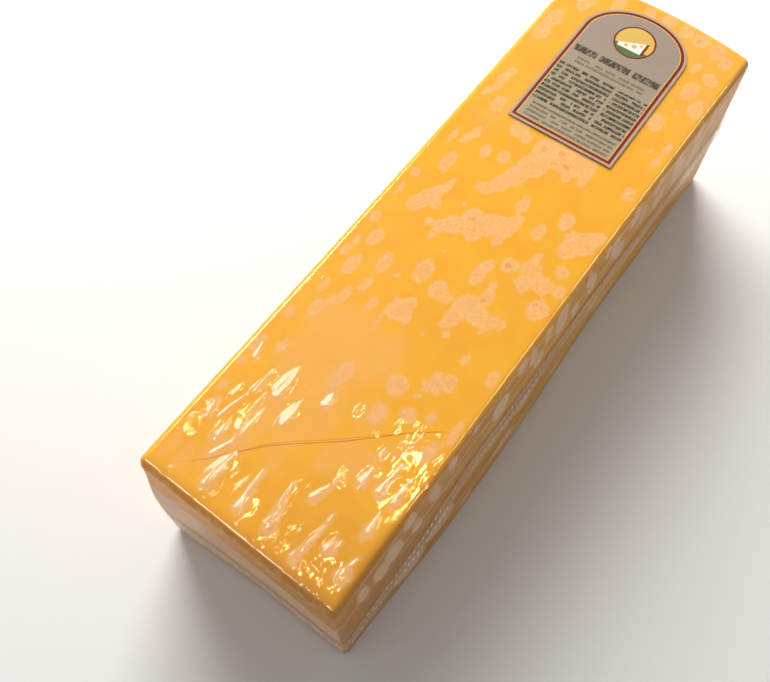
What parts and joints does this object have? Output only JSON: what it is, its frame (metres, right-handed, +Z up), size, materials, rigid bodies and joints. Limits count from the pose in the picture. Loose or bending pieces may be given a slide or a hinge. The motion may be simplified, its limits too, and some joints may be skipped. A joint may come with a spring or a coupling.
{
  "type": "cheddar block",
  "caption": "Long rectangular loaf of orange cheddar in tight clear film, with a sealed seam round its sides and an arched paper label on top.",
  "frame": {"origin": "on the table, under the middle of the loaf", "axes": "+Z up, +Y along the loaf to the end with the label, +X to the right side when looking along +Y"},
  "size_m": [0.0936, 0.2948, 0.0853],
  "materials": {
    "film": "clear glossy shrink film lying on the orange cheese, which gives the colour",
    "cheddar": "smooth annatto-orange cheddar, deeper where the film wets it and paler where the film stands off",
    "label_paper": "coated paper label, satin, with maroon and yellow border lines"
  },
  "bodies": {
    "root": {"wrapped_block": "film", "label": "label_paper"}
  },
  "joints": []
}
